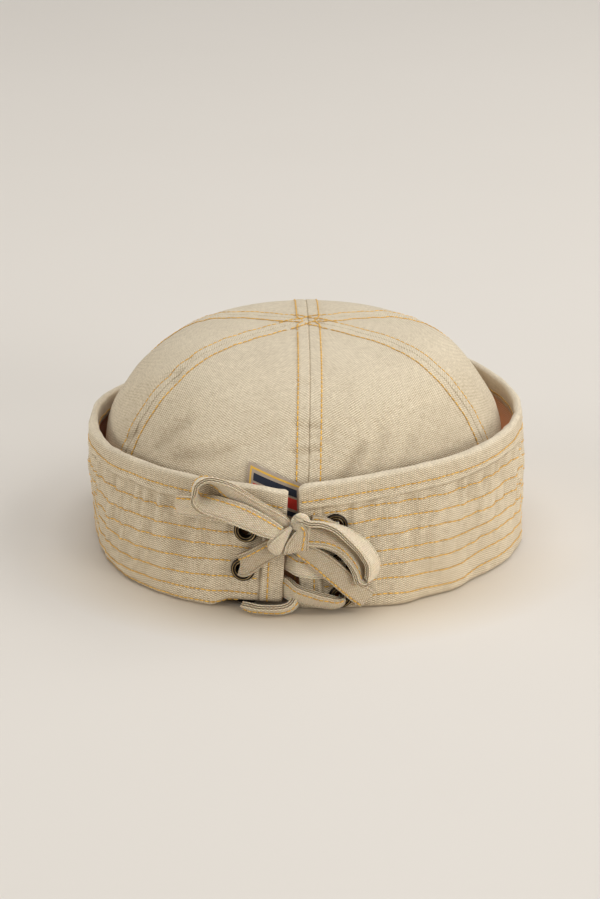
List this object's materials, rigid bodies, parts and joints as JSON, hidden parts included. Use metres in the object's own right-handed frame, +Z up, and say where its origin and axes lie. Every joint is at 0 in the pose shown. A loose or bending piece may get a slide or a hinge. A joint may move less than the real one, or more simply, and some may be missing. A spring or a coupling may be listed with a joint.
{
  "type": "sailor cap",
  "caption": "Brimless canvas sailor cap: a domed crown of gores in a tall turned-up stitched cuff, open at the back and laced through brass eyelets to a tied bow.",
  "frame": {"origin": "on the surface that the cap rests on, under the middle of the cuff", "axes": "+Z up, +Y to the wearer's front, so the lace and its bow are at the back, -Y; +X to the wearer's right"},
  "size_m": [0.1933, 0.2089, 0.097],
  "materials": {
    "canvas": "washed khaki canvas",
    "canvas_cuff": "washed khaki canvas, stitched in rows",
    "lace_canvas": "flat tape of the same canvas",
    "antique_brass": "antique, worn to bright brass on the edge",
    "label_weave": "plain woven label"
  },
  "bodies": {
    "root": {"cuff": "canvas_cuff", "crown_panel_1": "canvas", "crown_panel_2": "canvas", "crown_panel_3": "canvas", "crown_panel_4": "canvas", "crown_panel_5": "canvas", "crown_panel_6": "canvas", "eyelet_left_top": "antique_brass", "eyelet_left_middle": "antique_brass", "eyelet_left_bottom": "antique_brass", "eyelet_right_top": "antique_brass", "eyelet_right_middle": "antique_brass", "eyelet_right_bottom": "antique_brass", "back_label": "label_weave", "lace_knot": "lace_canvas", "lace_loop_left": "lace_canvas", "lace_loop_right": "lace_canvas", "lace_tail_left": "lace_canvas", "lace_tail_right": "lace_canvas", "lace_lead_left": "lace_canvas", "lace_lead_right": "lace_canvas", "lace_upper_cross": "lace_canvas", "lace_lower_cross": "lace_canvas", "lace_bottom_run": "lace_canvas"}
  },
  "joints": []
}
